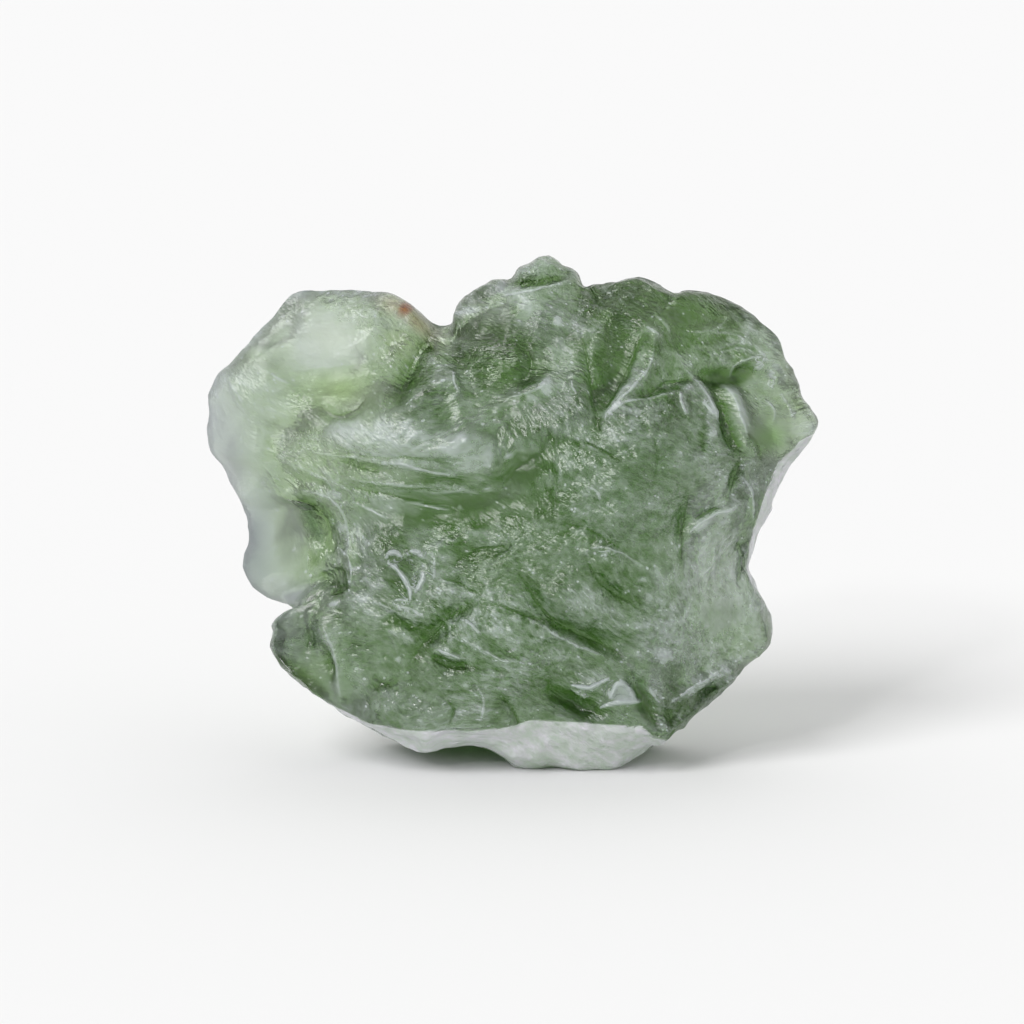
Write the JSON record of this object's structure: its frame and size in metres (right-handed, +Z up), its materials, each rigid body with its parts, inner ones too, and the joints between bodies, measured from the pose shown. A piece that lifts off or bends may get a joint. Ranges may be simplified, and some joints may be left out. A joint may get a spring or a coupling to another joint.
{
  "type": "moldavite stone",
  "caption": "Rough piece of natural green glass, thick in the middle and thin at its left lobes and right tip, standing on a small flat spot.",
  "frame": {"origin": "middle of the stone's box, on the surface that it stands on", "axes": "+X along the stone's broad face from its left lobes to its right tip, -Y the way that face looks, +Z up"},
  "size_m": [0.0258, 0.0104, 0.021],
  "materials": {
    "natural_green_glass": "natural green glass, etched and frosted, with smooth hollows and pale thin edges"
  },
  "bodies": {
    "root": {"moldavite": "natural_green_glass"}
  },
  "joints": []
}
